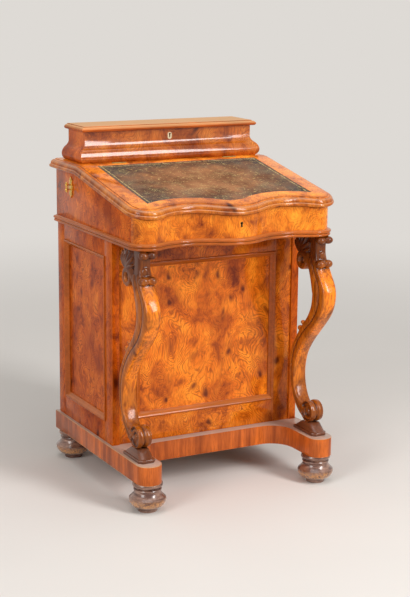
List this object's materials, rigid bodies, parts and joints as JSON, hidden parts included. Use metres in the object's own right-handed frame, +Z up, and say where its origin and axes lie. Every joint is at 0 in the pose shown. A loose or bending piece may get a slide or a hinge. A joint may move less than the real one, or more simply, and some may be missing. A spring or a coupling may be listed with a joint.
{
  "type": "davenport desk",
  "caption": "Small walnut davenport writing desk with a sloping leather-lined lid, stationery box, scroll supports and side drawers.",
  "frame": {"origin": "on the floor, in the middle of the desk's overall width and depth", "axes": "+X to the desk's right as seen from the front, +Y to its back, +Z up"},
  "size_m": [0.538, 0.519, 0.844],
  "materials": {
    "burr_walnut": "french polished burr walnut veneer, amber brown with dark swirls",
    "side_walnut": "polished straight-grained walnut",
    "moulding_wood": "polished reddish walnut moulding",
    "carved_walnut": "carved and polished walnut, worn on the high parts",
    "base_wood": "polished walnut with pale worn edges",
    "dark_wood": "dark turned wood, worn grey",
    "knob_wood": "turned and polished walnut",
    "carcase_pine": "unpolished pine and mahogany inside work",
    "interior_maple": "pale polished bird's-eye maple",
    "writing_leather": "worn brown-green leather with traces of gilt",
    "brass": "aged brass"
  },
  "bodies": {
    "carcase": {"base_left_runner": "base_wood", "base_right_runner": "base_wood", "base_front_rail": "base_wood", "base_rear_rail": "base_wood", "foot_front_left": "dark_wood", "foot_front_right": "dark_wood", "foot_rear_left": "dark_wood", "foot_rear_right": "dark_wood", "plinth_block_left": "base_wood", "plinth_block_right": "base_wood", "scroll_support_left": "carved_walnut", "scroll_support_right": "carved_walnut", "front_frame": "burr_walnut", "front_panel": "burr_walnut", "front_panel_moulding": "moulding_wood", "left_side_frame": "side_walnut", "left_side_panel": "side_walnut", "left_side_moulding": "moulding_wood", "right_side_frame": "side_walnut", "back_panel": "side_walnut", "dust_boards": "carcase_pine", "desk_bottom": "carcase_pine", "desk_left_cheek": "side_walnut", "desk_right_cheek": "side_walnut", "desk_front": "burr_walnut", "desk_back": "side_walnut", "waist_moulding": "moulding_wood", "rear_shelf": "burr_walnut", "interior_drawer_case": "interior_maple", "stationery_front": "burr_walnut", "stationery_left_end": "side_walnut", "stationery_right_end": "side_walnut", "stationery_back": "side_walnut", "pen_tray": "interior_maple", "fixed_hinge_leaves": "brass", "lock_cases": "brass", "keyhole_escutcheons": "brass", "candle_plate": "brass"},
    "slope_lid": {"slope_lid": "burr_walnut", "writing_leather": "writing_leather", "slope_hinge_leaves": "brass"},
    "stationery_lid": {"stationery_lid": "burr_walnut", "stationery_hinge_leaves": "brass"},
    "interior_drawer_left": {"interior_drawer_left": "interior_maple"},
    "interior_drawer_right": {"interior_drawer_right": "interior_maple"},
    "desk_lock_bolt": {"desk_lock_bolt": "brass"},
    "stationery_lock_bolt": {"stationery_lock_bolt": "brass"},
    "candle_swivel": {"candle_swivel": "brass"},
    "drawer_1": {"drawer_1_front": "burr_walnut", "drawer_1_box": "carcase_pine", "drawer_1_knobs": "knob_wood"},
    "drawer_2": {"drawer_2_front": "burr_walnut", "drawer_2_box": "carcase_pine", "drawer_2_knobs": "knob_wood"},
    "drawer_3": {"drawer_3_front": "burr_walnut", "drawer_3_box": "carcase_pine", "drawer_3_knobs": "knob_wood"},
    "drawer_4": {"drawer_4_front": "burr_walnut", "drawer_4_box": "carcase_pine", "drawer_4_knobs": "knob_wood"}
  },
  "joints": [
    {"name": "slope_lid_hinge", "type": "hinge", "parent": "carcase", "child": "slope_lid", "pos_m": [0, 0.1, 0.7577], "axis": [-1, 0, 0], "range_deg": [0, 105]},
    {"name": "stationery_lid_hinge", "type": "hinge", "parent": "carcase", "child": "stationery_lid", "pos_m": [0, 0.2312, 0.831], "axis": [-1, 0, 0], "range_deg": [0, 95]},
    {"name": "drawer_1_slide", "type": "slide", "parent": "carcase", "child": "drawer_1", "axis": [1, 0, 0], "range_m": [0, 0.3]},
    {"name": "drawer_2_slide", "type": "slide", "parent": "carcase", "child": "drawer_2", "axis": [1, 0, 0], "range_m": [0, 0.3]},
    {"name": "drawer_3_slide", "type": "slide", "parent": "carcase", "child": "drawer_3", "axis": [1, 0, 0], "range_m": [0, 0.3]},
    {"name": "drawer_4_slide", "type": "slide", "parent": "carcase", "child": "drawer_4", "axis": [1, 0, 0], "range_m": [0, 0.3]},
    {"name": "interior_drawer_left_slide", "type": "slide", "parent": "carcase", "child": "interior_drawer_left", "axis": [0, -1, 0], "range_m": [0, 0.095]},
    {"name": "interior_drawer_right_slide", "type": "slide", "parent": "carcase", "child": "interior_drawer_right", "axis": [0, -1, 0], "range_m": [0, 0.095]},
    {"name": "desk_lock_bolt_slide", "type": "slide", "parent": "carcase", "child": "desk_lock_bolt", "axis": [0, 0, 1], "range_m": [0, 0.006]},
    {"name": "stationery_lock_bolt_slide", "type": "slide", "parent": "carcase", "child": "stationery_lock_bolt", "axis": [0, 0, 1], "range_m": [0, 0.006]},
    {"name": "candle_swivel_turn", "type": "hinge", "parent": "carcase", "child": "candle_swivel", "pos_m": [-0.265, 0.15, 0.699], "axis": [0, 0, 1], "continuous": true}
  ]
}
